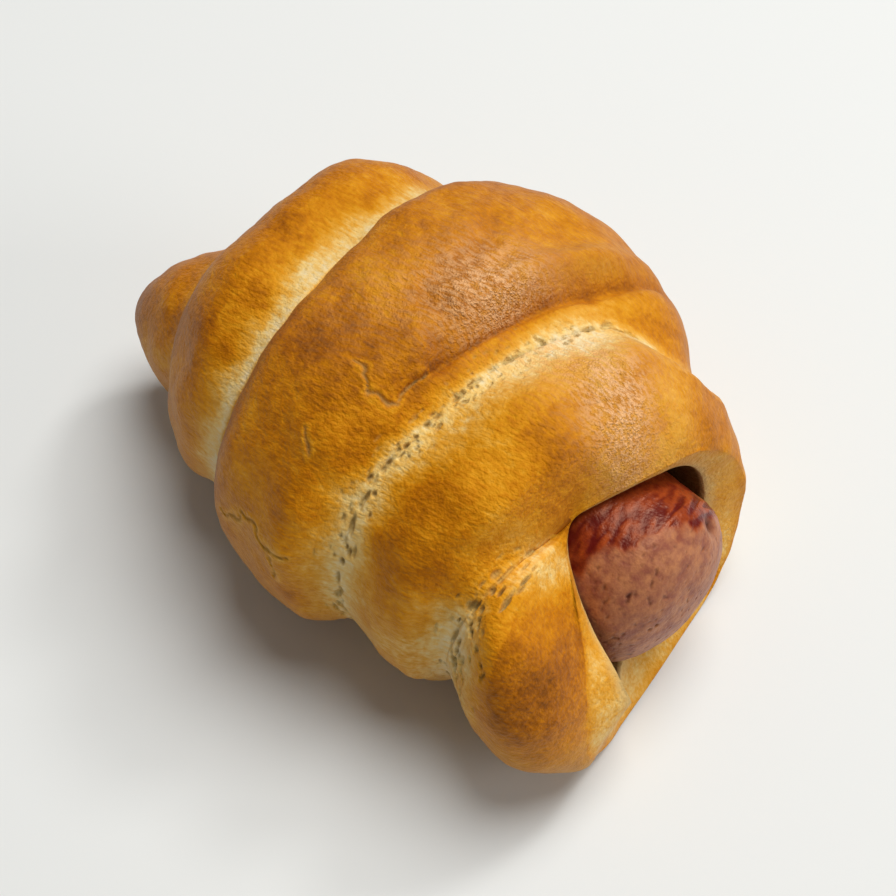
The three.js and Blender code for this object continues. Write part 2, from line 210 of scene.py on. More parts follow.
# angle counted the same way, place of the stretch fold beside the seam, its depth
FOLD = [
    (376, 28.4, 0.0), (386.5, 25.4, 0.8), (398, 23.1, 1.4), (410, 20.4, 1.7), (422, 17.6, 1.7),
    (436, 15.2, 1.6), (450, 13.1, 1.4), (465, 10.9, 1.1), (479, 8.6, 0.7), (492, 6.6, 0.0),
]
FOLD_WIDTH = 2.2
SWELL_BACK, SWELL_WIDTH, SWELL_SHARE = 3.4, 3.2, 0.6  # the dough swells behind the fold
near_y, far_y, underside_z, top_z = (curve(LOAF, c) for c in (1, 2, 3, 4))
seam_x = curve(SEAM, 1)
seam_depth, tail_flank, mouth_shoulder, roundness = (curve(SEAM_SHAPE, c) for c in (1, 2, 3, 4))
mouth_x, mouth_wall, mouth_flank, mouth_gap, lip_bulge, lip_set_back, lip_roundness = (
    curve(MOUTH, c) for c in (1, 2, 3, 4, 5, 6, 7))
fold_x, fold_depth = (curve(FOLD, c) for c in (1, 2))
print("seam along the roll", span([seam_x(TUCK), seam_x(SEAM_END)]), "mm")

# %% [markdown]
# ## The skin, pressed in at the seam
# A baked roll is round in section and flat where it lies. Its skin is that round loaf, less a
# depth that grows towards the seam and towards the mouth. A cage with a subdivision modifier
# could be pulled to the same form, but a depth in millimetres can be set for each place.

# %% The skin of the loaf


def loaf(x, angle):
    half_width = (far_y(x) - near_y(x)) / 2
    half_height = (top_z(x) - underside_z(x)) / 2
    cap = np.sqrt(1 - np.clip((TAIL_X + TAIL_CAP - x) / TAIL_CAP, 0, 1) ** 2)
    across = np.abs(np.cos(np.radians(angle)) / half_width) ** SECTION_POWER
    upward = np.abs(np.sin(np.radians(angle)) / half_height) ** SECTION_POWER
    radius = cap * (across + upward) ** (-1 / SECTION_POWER)
    return (far_y(x) + near_y(x)) / 2, (top_z(x) + underside_z(x)) / 2, radius


def on_base(z):
    blended = (z + BASE_BLEND) ** 2 / (4 * BASE_BLEND)
    return np.where(z >= BASE_BLEND, z, np.where(z <= -BASE_BLEND, 0, blended))


def skin(x, angle, pressed_in):
    y, z, radius = loaf(x, angle)
    r = radius - pressed_in
    turned = np.radians(angle)
    return np.stack([x, y + r * np.cos(turned), on_base(z + r * np.sin(turned))], axis=-1)


print("top of the loaf", round(float(skin(5.0, 90.0, 0.0)[2]), 2), "mm")

# %% How far the mouth and the seams are pressed in


def mouth_press(angle):
    x = mouth_x(angle)
    y, z, radius = loaf(x, angle)
    dy, dz = y - axis_y(x), z - axis_z(x)
    reach = SAUSAGE_RADIUS + mouth_gap(angle) + mouth_wall(angle)
    along = dy * np.cos(np.radians(angle)) + dz * np.sin(np.radians(angle))
    return radius + along - np.sqrt(along ** 2 - dy ** 2 - dz ** 2 + reach ** 2)


def away_from_lip(angle):
    return np.where(angle <= TUCK, 0, soft((mouth_x(angle) - seam_x(angle)) / TUCK_SPREAD))


def lobe_edge(turn, angle):
    """Place and depth of the edge between two lobes, for each column."""
    counted = angle + TURN * turn
    away = np.where(turn == 0, away_from_lip(angle), 1.0)
    on_lip = (turn < 0) | (away == 0)
    at_tail = counted >= SEAM_END
    press = mix(mouth_press(angle), seam_depth(counted), away)
    x = np.where(on_lip, mouth_x(angle), np.where(at_tail, TAIL_X, seam_x(counted)))
    return x, np.where(on_lip, mouth_press(angle), np.where(at_tail, 0, press))


def flank_width(turn, angle):
    first = mix(mouth_flank(np.minimum(angle, TUCK)), tail_flank(angle), away_from_lip(angle))
    later = tail_flank(angle + TURN * (turn - 1))
    return np.where(turn == 0, mouth_flank(angle), np.where(turn == 1, first, later))


print("pressed in at the top of the mouth", round(float(mouth_press(90.0)), 2), "mm")

# %% Shapes of a flank, a shoulder and the fold


def slope_shape(t):
    return (1 + np.cos(np.pi * np.clip(t, 0, 1))) / 2


def round_shape(t):
    return 1 - np.sqrt(1 - (1 - np.clip(t, 0, 1)) ** 2)


def fold_press(counted, x):
    """The groove of the stretch fold, with a swell on its tail side."""
    off = x - fold_x(counted)
    swell = SWELL_SHARE * hump(off + SWELL_BACK, SWELL_WIDTH)
    return fold_depth(counted) * (hump(off, FOLD_WIDTH) - swell)


print("groove of the fold", round(float(fold_press(416.0, fold_x(416.0))), 2), "mm deep")

# %% [markdown]
# ## A fine grid over each lobe
# The lobes are laid out as grids: columns round the roll, rows along it, with closer rows at
# the seams, where pores and torn edges need them. A remesh would give even faces, but it would
# blur the seams. Each point also keeps where it is from the nearest seam, for the finish.

# %% Grid of a lobe
COLUMNS, LOBE_ROWS = 800, 84
EDGE_CROWDING = 0.45  # how much closer the rows lie at the seams
angles = UNDERSIDE + TURN * np.arange(COLUMNS + 1) / COLUMNS
last_column = np.arange(COLUMNS + 1) == COLUMNS
even = np.arange(LOBE_ROWS + 1) / LOBE_ROWS
shares = mix(even, np.sin(np.pi / 2 * even) ** 2, EDGE_CROWDING)[:, None]


def lobe_grid(number):
    turn = np.where(last_column, number + 1, number)
    angle = np.where(last_column, UNDERSIDE, angles)
    left_x, left_press = lobe_edge(turn, angle)
    right_x, right_press = lobe_edge(turn - 1, angle)
    width = right_x - left_x
    counted = angle + TURN * turn
    x = np.where(shares == 1, right_x, left_x + width * shares)
    from_left = (x - left_x) / np.maximum(np.minimum(mouth_shoulder(counted), width / 2), TINY)
    flank = np.minimum(flank_width(turn, angle), WIDEST_FLANK * width)
    from_right = (right_x - x) / np.maximum(flank, TINY)
    shoulder = mix(slope_shape(from_left), round_shape(from_left), roundness(counted))
    on_lip = np.where(turn == 0, 1, np.where(turn == 1, 1 - away_from_lip(angle), 0))
    rounded = on_lip * lip_roundness(angle)
    edge_shape = mix(slope_shape(from_right), round_shape(from_right), rounded)
    risen = left_press * shoulder + right_press * edge_shape
    flat = mix(left_press, right_press, shares)
    press = mix(flat, risen, soft(width / FULL_LOBE)) + fold_press(counted - TURN, x)
    press = np.where(shares == 0, left_press, press)
    press = np.where((shares == 1) | (width == 0), right_press, press)
    nearer_left = (x - left_x) < (right_x - x)
    return {
        "place": skin(x, angle + 0 * x, press),
        "across": np.where(nearer_left, x - left_x, x - right_x),
        "seam": np.where(nearer_left, counted, counted - TURN) + 0 * x,
        "turn": turn + 0 * x,
        "angle": angle + 0 * x,
        "inside": 0 * x,
    }


lobes = [lobe_grid(number) for number in range(LOBES)]
print("lobes", len(lobes), "of", lobes[0]["place"].shape[:2], "points")

# %% Grid of the lip and the hollow
LIP_ROWS, HOLLOW_ROWS, END_ROWS = 14, 20, 8
FAR_AWAY = 99.0  # millimetres, beyond any seam or crack
BORE_CROWDING, GAP_POWER = 1.4, 1.5  # how the rows and the gap run inwards


def hollow_grid():
    """The lip, the bore that the sausage fills, and its closed end, from the mouth inwards."""
    angle = np.where(last_column, UNDERSIDE, angles)
    edge = skin(mouth_x(angle), angle, mouth_press(angle))
    edge_x, edge_radius, turned = in_sausage_frame(edge)
    inner = SAUSAGE_RADIUS + mouth_gap(angle)
    rows = [edge]
    for t in np.arange(1, LIP_ROWS + 1) / LIP_ROWS:
        inward = (1 - np.cos(np.pi * t)) / 2
        x = edge_x + lip_bulge(angle) * np.sin(np.pi * t) - lip_set_back(angle) * inward
        row = round_sausage(x, mix(edge_radius, inner, inward), turned)
        row[:, 2] = np.maximum(row[:, 2], 0)
        rows.append(row)
    start = edge_x - lip_set_back(angle)
    dome_start = BACK_X + BACK_DOME
    for t in np.arange(1, HOLLOW_ROWS + 1) / HOLLOW_ROWS:
        x = mix(start, dome_start, t ** BORE_CROWDING)
        open_share = np.clip(1 - (start - x) / MOUTH_DEPTH, 0, 1) ** GAP_POWER
        gap = mix(CLEARANCE, inner - SAUSAGE_RADIUS, open_share)
        rows.append(round_sausage(x, SAUSAGE_RADIUS + gap, turned))
    for t in np.arange(1, END_ROWS + 1) / END_ROWS:
        radius = (SAUSAGE_RADIUS + CLEARANCE) * (math.cos(math.pi / 2 * t) if t < 1 else 0)
        x = dome_start - (BACK_DOME + CLEARANCE) * math.sin(math.pi / 2 * t)
        rows.append(round_sausage(x + 0 * turned, radius, turned))
    place = np.array(rows)
    depth = np.arange(len(rows))[:, None] / LIP_ROWS + 0 * place[..., 0]
    return {
        "place": place,
        "across": 0 * depth + FAR_AWAY,
        "seam": 0 * depth,
        "turn": 0 * depth - 1,
        "angle": angle + 0 * depth,
        "inside": np.minimum(depth, 1) + (depth > 1),
    }


grids = lobes + [hollow_grid()]
print("lip and hollow", grids[-1]["place"].shape[:2], "points")

# %% [markdown]
# ## One closed mesh
# Rows that meet are welded, so the dough is one closed body like the real piece. Blender's
# own merge would do, but with a weld by rounded place the extra facts of each point stay tied
# to it.

# %% Weld the grids
WELD_STEP = 1e-4  # millimetres


def weld(grids, step=WELD_STEP):
    """Points, triangles and the facts of each point, with points at one place joined."""
    facts = {key: np.concatenate([g[key].reshape(-1) for g in grids])
             for key in grids[0] if key != "place"}
    points = np.concatenate([g["place"].reshape(-1, 3) for g in grids])
    _, first, joined = np.unique(np.round(points / step).astype(np.int64), axis=0,
                                 return_index=True, return_inverse=True)
    joined = joined.reshape(-1)
    corners, start = [], 0
    for g in grids:
        rows, across = g["place"].shape[:2]
        index = joined[start:start + rows * across].reshape(rows, across)
        a, b = index[:-1, :-1].ravel(), index[1:, :-1].ravel()
        c, d = index[1:, 1:].ravel(), index[:-1, 1:].ravel()
        corners += [np.stack([a, c, b], 1), np.stack([a, d, c], 1)]
        start += rows * across
    faces = np.concatenate(corners)
    sound = (faces[:, 0] != faces[:, 1]) & (faces[:, 1] != faces[:, 2]) & (faces[:, 2] != faces[:, 0])
    return points[first], faces[sound], {key: value[first] for key, value in facts.items()}


def point_normals(points, faces):
    a, b, c = (points[faces[:, i]] for i in range(3))
    face_normal = np.cross(b - a, c - a)
    normal = np.zeros_like(points)
    for i in range(3):
        for axis in range(3):
            normal[:, axis] += np.bincount(faces[:, i], face_normal[:, axis], len(points))
    return normal / np.maximum(np.linalg.norm(normal, axis=1, keepdims=True), TINY)


def open_edges(faces):
    edges = np.sort(np.concatenate([faces[:, [0, 1]], faces[:, [1, 2]], faces[:, [2, 0]]]), axis=1)
    _, count = np.unique(edges[:, 0] * (edges.max() + 1) + edges[:, 1], return_counts=True)
    return int((count != 2).sum())


points, faces, fact = weld(grids)
normals = point_normals(points, faces)
print("dough", len(points), "points", len(faces), "faces", open_edges(faces), "open edges")

# %% [markdown]
# ## Noise for lumps and wrinkles
# Dough swells unevenly, so its skin has slow lumps and fine wrinkles at once. A displace
# modifier with a texture is one way. Gradient noise worked out here on the points gives the
# same, and can be steered by where the point is on the roll.

# %% Gradient noise
LATTICE = np.array([73856093, 19349663, 83492791], dtype=np.int64)  # primes scatter the cells
NOISE_GAIN = 1.6


def corner_gradient(cell, salt):
    mixed = (cell * LATTICE).sum(axis=1) + salt * 2654435761
    mixed = (mixed ^ (mixed >> 13)) * 1274126177
    mixed = (mixed ^ (mixed >> 16)) & 0xFFFFFF
    turned = (mixed & 0xFFF) / 0xFFF * 2 * np.pi
    height = (mixed >> 12) / 0xFFF * 2 - 1
    flat = np.sqrt(1 - height ** 2)
    return np.stack([flat * np.cos(turned), flat * np.sin(turned), height], axis=1)


def noise(place, size, salt=0):
    """Smooth noise between about -1 and 1, with lumps of a size in millimetres."""
    p = place / size
    cell = np.floor(p).astype(np.int64)
    part = p - cell
    fade = part ** 3 * (part * (part * 6 - 15) + 10)
    total = np.zeros(len(p))
    for corner in range(8):
        step = np.array([corner & 1, corner >> 1 & 1, corner >> 2 & 1])
        value = (corner_gradient(cell + step, salt) * (part - step)).sum(axis=1)
        share = np.where(step == 1, fade, 1 - fade).prod(axis=1)
        total += value * share
    return total * NOISE_GAIN


print("noise", round(float(noise(points[:1000], 5.0).std()), 2))

# %% [markdown]
# ## Relief of the crust
# The skin of the real roll is never smooth: it has slow lumps, stretch folds that follow the
# seam, a row of torn gas holes where two turns pulled apart in the oven, a few cracks, and a
# thin torn lip over the sausage. All of it is moved in the mesh, along the normal.

# %% Places on the skin
turn, angle, across, seam = (fact[k] for k in ("turn", "angle", "across", "seam"))
inside = fact["inside"]
place_along = points[:, 0]
outer = inside == 0
GIRTH = 29.0  # millimetres of skin to one radian
FREE_HEIGHT = 4.0  # height where the relief is whole, and it fades out down to the table
free_of_table = soft(points[:, 2] / FREE_HEIGHT)


def near(at_angle, at_x, reach):
    """1 at a place on the skin, falling to 0 at about the reach, in millimetres."""
    off = np.hypot(np.radians(angle - at_angle) * GIRTH, place_along - at_x)
    return hump(off, reach) * outer


def band(start, end, fade=14.0):
    """1 along a stretch of the seam, given by its counted angles."""
    return soft((seam - start) / fade + 0.5) * soft((end - seam) / fade + 0.5)


print("points near the seams", int((np.abs(across) < 3).sum()))

# %% Lumps and the wrinkled, glossy zones
# height of the lumps, their width, their seed
LUMPS = [(0.9, 19.0, 1), (0.5, 8.0, 2), (0.14, 3.4, 3), (0.06, 1.5, 10)]
FULL_FOLD = 1.6  # depth at which the fold counts in full
NET_DEPTH, NET_SIZE, NET_LINE = 0.09, 2.4, 0.10
GRAIN_DEPTH, GRAIN_SIZE = 0.06, 1.0
relief = sum(height * noise(points, width, seed) for height, width, seed in LUMPS)
leathery = near(80, 12, 12.5) + 0.15 * near(100, -2, 14)
fold_counted = angle + TURN * (turn - 1)
from_fold = place_along - fold_x(fold_counted)
on_fold = np.clip(fold_depth(fold_counted) / FULL_FOLD, 0, 1) * outer
leathery *= 1 - on_fold * soft((from_fold + 1.0) / 1.5)
leathery = np.clip(leathery + 1.1 * near(74, 32, 11), 0, 1)
network = np.clip(1 - np.abs(noise(points, NET_SIZE, 4)) / NET_LINE, 0, 1)
relief -= (NET_DEPTH * network + GRAIN_DEPTH * noise(points, GRAIN_SIZE, 16)) * leathery
print("glossy zones", int((leathery > 0.5).sum()), "points")

# %% Stretch lines beside the seams and the crease of the fold
STRAND_LENGTH, STRAND_WIDTH, STRAND_HEIGHT, STRAND_REACH = 7.0, 0.55, 0.10, 9.0
CREASE_DEPTH, CREASE_WIDTH, CREASE_OFF = 0.4, 0.9, 0.3
LIP_CALM, LIP_FADE = 0.85, 1.2  # the lip and the bore are smoother than the crust
TURN_APART = 7.3  # keeps the lines of one turn from going on in the next
strand_place = np.stack([
    np.radians(seam) * GIRTH / STRAND_LENGTH, across / STRAND_WIDTH, turn * TURN_APART,
], axis=1)
strand = noise(strand_place, 1.0, 9)
stretched = hump(across, STRAND_REACH) * outer * band(130, 600)
relief += STRAND_HEIGHT * strand * stretched
relief -= CREASE_DEPTH * on_fold * hump(from_fold - CREASE_OFF, CREASE_WIDTH)
relief *= 1 - LIP_CALM * soft(inside / LIP_FADE)
print("relief", span(relief), "mm")

# %% [markdown]
# ## Cracks and broad folds
# Where the crust had set before the dough inside stopped rising, it cracked, and thin flakes
# stand up beside the cracks. A knife tool on the mesh would cut them, but it would also cut
# the faces. Here each crack is a short broken line, made ragged with noise, and the points
# near it sink or rise.

# %% Cracks and flakes, as broken lines of angle and place along the roll
CRACKS = [
    [(118.4, 1.8), (119.8, 4.0), (123.6, 5.3), (125.5, 7.9), (124.1, 9.0)],
    [(124.1, 9.0), (120.8, 8.4), (113.0, 9.6)], [(137.5, -0.2), (143.6, 2.4)],
    [(175.3, -9.9), (167.2, -5.1), (166.7, -2.5), (169.6, -0.5), (168.6, 3.4)],
    [(171.9, 1.1), (177.6, 1.7)],
]
BROAD_FOLDS = [
    [(86.0, 3.6), (78.0, 5.2), (66.8, 5.6), (56.0, 4.0)], [(108.0, 10.5), (96.0, 8.0), (90.0, 3.0)],
]
CRACK_WIDTH, CRACK_DEPTH, CRACK_RAGGED = 0.24, 0.32, 0.9
FLAKE_OFF, FLAKE_WIDTH, FLAKE_RISE = 0.55, 0.5, 0.08
BROAD_WIDTH, BROAD_DEPTH, BROAD_RAGGED = 2.6, 0.35, 1.2
BANK_WIDTH, BANK_DEPTH = 2.4, 0.2
RAGGED_SIZE = 2.0


def route_distance(routes, ragged):
    """Distance from the nearest of some broken lines on the skin, in millimetres."""
    u = np.radians(angle) * GIRTH + ragged * noise(points, RAGGED_SIZE, 11)
    v = place_along + ragged * noise(points, RAGGED_SIZE, 12)
    nearest = np.full(len(points), FAR_AWAY)
    for route in routes:
        for (a0, x0), (a1, x1) in zip(route, route[1:]):
            u0, step_u = math.radians(a0) * GIRTH, math.radians(a1 - a0) * GIRTH
            step_v = x1 - x0
            t = ((u - u0) * step_u + (v - x0) * step_v) / (step_u ** 2 + step_v ** 2)
            t = np.clip(t, 0, 1)
            nearest = np.minimum(nearest, np.hypot(u - u0 - t * step_u, v - x0 - t * step_v))
    return np.where(outer, nearest, FAR_AWAY)


from_crack = route_distance(CRACKS, CRACK_RAGGED)
crack, flake = hump(from_crack, CRACK_WIDTH), hump(from_crack - FLAKE_OFF, FLAKE_WIDTH)
relief += FLAKE_RISE * flake - CRACK_DEPTH * crack
from_broad = route_distance(BROAD_FOLDS, BROAD_RAGGED)
bank = BANK_DEPTH * hump(from_broad - BROAD_WIDTH, BANK_WIDTH)
relief -= BROAD_DEPTH * hump(from_broad, BROAD_WIDTH) - bank
print("cracks", len(CRACKS), "points in them", int((crack > 0.5).sum()))

# %% [markdown]
# ## Torn gas holes
# Two turns that touch bake together and are pulled apart again as the roll swells. That tears
# the crumb between them, and its gas bubbles show as rows of small open pores. Spheres cut out
# with booleans would do for ten of them. For 250, pits pressed into the fine grid are much
# quicker, and they come out oval, along the seam, as the real ones are.

# %% Torn gas holes along two seams
HOLES = np.random.default_rng(7)
PIT_POWER = 0.7  # less is a flatter bottom
SLIT_OFF, SLIT_WIDTH, SLIT_DEPTH, SLIT_DARK = 0.15, 0.4, 0.5, 0.7
OVERHANG_OFF, OVERHANG_WIDTH, OVERHANG_DEPTH = 0.1, 0.5, 0.35
CRACK_DARK = 0.5


def pore_row(start, end, count, side, spread, length, width, depth):
    rows = []
    for _ in range(count):
        rows.append((HOLES.uniform(start, end), HOLES.normal(side, spread),
                     length * HOLES.uniform(0.5, 1.3), width * HOLES.uniform(0.6, 1.3),
                     depth * HOLES.uniform(0.5, 1.1)))
    return rows


# stretch of the seam, how many, place beside the seam and its spread, length, width, depth
pores = (pore_row(400, 424, 16, -0.1, 0.35, 0.6, 0.30, 0.6)
         + pore_row(424, 500, 46, -0.1, 0.65, 0.6, 0.26, 0.55)
         + pore_row(434, 500, 30, 1.5, 0.9, 0.5, 0.22, 0.4)
         + pore_row(500, 560, 30, -0.2, 0.9, 0.8, 0.32, 0.6)
         + pore_row(440, 555, 34, -2.0, 0.8, 0.6, 0.2, 0.3)
         + pore_row(140, 200, 34, 0.9, 1.0, 1.0, 0.40, 0.9)
         + pore_row(135, 205, 44, 2.6, 1.7, 0.7, 0.26, 0.6)
         + pore_row(138, 200, 16, -1.4, 0.8, 0.6, 0.22, 0.4))
# the material lays a darker colour in the pores, slits and cracks: painted shade in these hollows
hole_shade = np.zeros(len(points))
for at, side, length, width, depth in pores:
    d_along = (np.radians(seam - at) * GIRTH) / length
    d_across = (across - side) / width
    shape = np.clip(1 - (d_along ** 2 + d_across ** 2), 0, 1) ** PIT_POWER
    relief -= depth * shape * outer
    hole_shade = np.maximum(hole_shade, shape * outer * min(1.0, depth + 0.15))
slit = hump(across + SLIT_OFF, SLIT_WIDTH) * outer * (band(396, 566) + band(136, 205))
slit *= np.clip(0.45 + 2.2 * noise(points, 2.2, 13), 0, 1)
relief -= SLIT_DEPTH * slit
under_edge = hump(across + OVERHANG_OFF, OVERHANG_WIDTH) * outer * band(735, 900)
relief -= OVERHANG_DEPTH * under_edge
hole_shade = np.clip(np.maximum(hole_shade, SLIT_DARK * slit) + CRACK_DARK * crack, 0, 1)
print("pores", len(pores))

# %% [markdown]
# ## How brown the crust is
# The oven browns what stands up and leaves pale what was covered or stretched. Weights painted
# by hand could carry this, but a formula follows the seam by itself. The browning is kept as
# one number for each point: 0 raw cream, 0.5 golden, 1 dark brown. A few of its terms are
# painted light and painted shade, and say so where they are added.

# %% Pale bands beside the seam
# angle of the seam, pale reach on the tail side, pale reach on the mouth side, how pale
PALE = [
    (115, 4, 3, 0.3), (140, 3, 5, 0.35), (152, 4.5, 6, 0.55), (166, 6, 7.5, 0.92),
    (200, 6, 7, 0.85), (270, 6, 6, 0.7), (390, 3.0, 6, 0.75), (430, 2.6, 10, 0.95),
    (490, 3.4, 6.5, 0.8), (515, 5, 6, 0.85), (560, 5, 6, 0.8), (630, 5, 5, 0.7),
    (735, 8, 0.8, 0.85), (840, 7.5, 0.8, 0.95), (940, 6, 1.0, 0.85), (1000, 5, 1, 0.6),
    (1110, 2.5, 0.8, 0.25), (1440, 2.0, 0.8, 0.1),
]
PALE_RAGGED, PALE_SIZE = 0.5, 6.0  # how uneven the edge of a band is, and its waves
PALE_SETS_IN = 25  # degrees after the tuck
pale_tail, pale_mouth, pale_amount = (curve(PALE, c) for c in (1, 2, 3))
reach = np.where(across > 0, pale_mouth(seam), pale_tail(seam))
reach = reach * (1 + PALE_RAGGED * noise(points, PALE_SIZE, 14))
pale = pale_amount(seam) * hump(np.abs(across), reach) * outer
pale = pale * soft((seam - TUCK) / PALE_SETS_IN)
print("pale points", int((pale > 0.5).sum()))

# %% Places that are browner or paler: the oven's browning, and in a few places painted light
# angle, place along the roll, reach, how much. Most are the oven's browning; the ones that lighten
# the sheen on lobe 4, the right side by the mouth and the shaded low near side are painted light.
BROWNING_AND_LIGHT_PATCHES = [
    (80, 31, 9, -0.18), (50, 37, 9, -0.26), (68, 27, 6, -0.20), (66, 26, 6, -0.12),
    (138, 34.5, 6, -0.38), (167, 39.5, 7, 0.20), (110, -33, 8, -0.12), (95, -2, 7, -0.10),
    (116, -3, 8, 0.06), (42, 17, 10, -0.14), (70, 13, 7, -0.06), (178, 3, 8, -0.08),
    (182, 22, 9, -0.24), (125, 23, 8, -0.10), (183, 4, 2.5, 0.25), (-15, 47, 12, -0.50),
    (-75, 49, 9, -0.34), (262, 49, 9, -0.34), (116, -4, 6, 0.14), (117, 11, 5, 0.16),
    (180, 29, 7, -0.16), (118, 22, 7, -0.12), (151, 32, 3, 0.25), (176, 8, 9, -0.12),
    (154, -33, 8, -0.16), (178, 44, 5, 0.16), (186, 40, 6, -0.10),
]
UNEVEN = [(0.09, 14.0, 5), (0.07, 5.0, 6)]  # strength, width and seed of the slow changes
GOLDEN, TOP_BROWNER = 0.54, 0.10
LOW_PALE_AND_LIT, LOW_ZONE = 0.14, 16  # paler towards the tray, below this height; partly painted light that lifts the shaded low flanks
browning = GOLDEN + TOP_BROWNER * soft(normals[:, 2])
for amount, wide, seed in UNEVEN:
    browning += amount * noise(points, wide, seed)
browning -= LOW_PALE_AND_LIT * soft((LOW_ZONE - points[:, 2]) / LOW_ZONE)
for at_angle, at_x, wide, amount in BROWNING_AND_LIGHT_PATCHES:
    browning += amount * near(at_angle, at_x, wide)
print("browned places", len(BROWNING_AND_LIGHT_PATCHES))

# %% Browning of the fold, the stretch lines, the cracks, the pale bands and the lip, with painted shade in the fold's crease and under the overhanging edge
FOLD_SHADE, FOLD_SHADE_WIDTH = 0.20, 1.1
BANK_PALE, BANK_PALE_OFF, BANK_PALE_WIDTH = 0.12, 2.6, 2.4
BROAD_BROWN, STRAND_PALE, FLAKE_PALE = 0.05, 0.08, 0.16
CREAM, CREAM_STRAND = 0.03, 0.05
OVERHANG_SHADE = 0.35
LIP_PALE, LIP_PALE_FADE = 0.24, 0.4
crease_shade = on_fold * hump(from_fold + 0.1, FOLD_SHADE_WIDTH)
bank_line = on_fold * hump(from_fold - BANK_PALE_OFF, BANK_PALE_WIDTH)
# darker in the crease of the fold: browner crust there, and painted shade in the crease
browning += FOLD_SHADE * crease_shade - BANK_PALE * bank_line
browning += BROAD_BROWN * hump(from_broad, BANK_WIDTH)
browning -= STRAND_PALE * strand * stretched + FLAKE_PALE * flake
browning = mix(browning, CREAM + CREAM_STRAND * np.abs(strand), np.clip(pale, 0, 1))
# painted shade: darker in the groove under the overhanging edge of a lobe
browning += OVERHANG_SHADE * under_edge
browning -= LIP_PALE * soft(inside / LIP_PALE_FADE)
print("browning", span(browning))

# %% Paler tan low on the near side, partly painted light, and where the crust is red-brown
# place beside the seam, width, start and end of the stretch, how red
BLUSHES = [(0.9, 1.6, 830, 960, 1.0), (1.0, 1.6, 1160, 1260, 0.8)]
TAN_LIGHT_TOP, TAN_LIGHT_RUN, TAN_LIGHT_FROM, TAN_LIGHT_TURN = 24, 20, 120, 40  # low on the near side, away from the lamps: a paler tan crust, lightened further as painted light
TAIL_BLUSH_X, TAIL_BLUSH_RUN = -38, 8
FOLD_BLUSH, FOLD_BLUSH_OFF, FOLD_BLUSH_WIDTH = 0.55, 1.8, 2.2
FOLD_BLUSH_END, FOLD_BLUSH_FADE = 104, 20
tan_and_painted_light = soft((TAN_LIGHT_TOP - points[:, 2]) / TAN_LIGHT_RUN) * soft((angle - TAN_LIGHT_FROM) / TAN_LIGHT_TURN) * outer
blush = sum(amount * hump(across - off, wide) * band(start, end)
            for off, wide, start, end, amount in BLUSHES)
blush += soft((TAIL_BLUSH_X - place_along) / TAIL_BLUSH_RUN) * soft(-normals[:, 0])
red_fold = on_fold * hump(from_fold + FOLD_BLUSH_OFF, FOLD_BLUSH_WIDTH)
blush += FOLD_BLUSH * red_fold * soft((FOLD_BLUSH_END - angle) / FOLD_BLUSH_FADE)
blush = np.clip(blush * outer, 0, 1)
print("dull points", int((tan_and_painted_light > 0.5).sum()), "red-brown points", int((blush > 0.5).sum()))

# %% Move the points along their normals
points = points + normals * (relief * free_of_table)[:, None]
points[:, 2] = np.maximum(points[:, 2], 0)
print("top of the crust", round(float(points[:, 2].max()), 2), "mm")

# %% [markdown]
# ## Into Blender
# The roll is drawn about its own axis and moved so that the origin is under the middle of the
# solid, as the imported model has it. A mesh can be made from lists, but arrays that are handed
# over at once are much quicker with half a million points. What each point knows, such as its
# browning, goes with it as an attribute that the material reads.

# %% Mesh objects from arrays
ROLL_MIDDLE = (2.1229, 1.2444, 0.0)


def mesh_object(name, points, faces, attributes):
    mesh = bpy.data.meshes.new(name)
    mesh.vertices.add(len(points))
    mesh.vertices.foreach_set("co", ((points - ROLL_MIDDLE) * MM).astype(np.float32).ravel())
    mesh.loops.add(faces.size)
    mesh.loops.foreach_set("vertex_index", faces.astype(np.int32).ravel())
    mesh.polygons.add(len(faces))
    mesh.polygons.foreach_set("loop_start", np.arange(0, faces.size, 3, dtype=np.int32))
    mesh.polygons.foreach_set("loop_total", np.full(len(faces), 3, dtype=np.int32))
    mesh.update(calc_edges=True)
    mesh.polygons.foreach_set("use_smooth", np.ones(len(faces), dtype=bool))
    for key, values in attributes.items():
        layer = mesh.attributes.new(key, "FLOAT", "POINT")
        layer.data.foreach_set("value", values.astype(np.float32))
    mesh.validate()
    made = bpy.data.objects.new(name, mesh)
    bpy.context.scene.collection.objects.link(made)
    print(name, len(mesh.vertices), "points", len(mesh.polygons), "faces")
    return made


# %% The dough, with its flat underside, the crumb at the lip, and painted shade deep in the bore
BASE_HEIGHT, DOWNWARD, DOWNWARD_RUN = 1.5, 0.3, 0.5
CRUMB_FROM, CRUMB_FROM_ROUND, CRUMB_RUN = 0.35, 0.6, 0.35  # share of the lip where it shows
CRUMB_RAGGED, CRUMB_WAVE = 0.08, 1.6
BORE_FROM, BORE_RUN = 0.9, 0.4
underside = soft((BASE_HEIGHT - points[:, 2]) / BASE_HEIGHT)
underside = underside * soft((-normals[:, 2] - DOWNWARD) / DOWNWARD_RUN)
crumb_from = mix(CRUMB_FROM, CRUMB_FROM_ROUND, lip_roundness(angle))
ragged_edge = CRUMB_RAGGED * noise(points, CRUMB_WAVE, 15)
crumb = soft((inside - crumb_from - ragged_edge) / CRUMB_RUN)
# deep in the bore the crumb is coloured dark brown: painted shade in the hollow round the sausage
bore = soft((inside - BORE_FROM) / BORE_RUN)
dough_facts = {
    "browning": browning, "hole_shade": hole_shade, "crumb": crumb, "bore": bore, "underside": underside,
    "tan_and_painted_light": tan_and_painted_light, "blush": blush, "leathery": leathery,
}
dough = mesh_object("dough_crust", points, faces, dough_facts)
print("each point knows its", ", ".join(dough_facts))

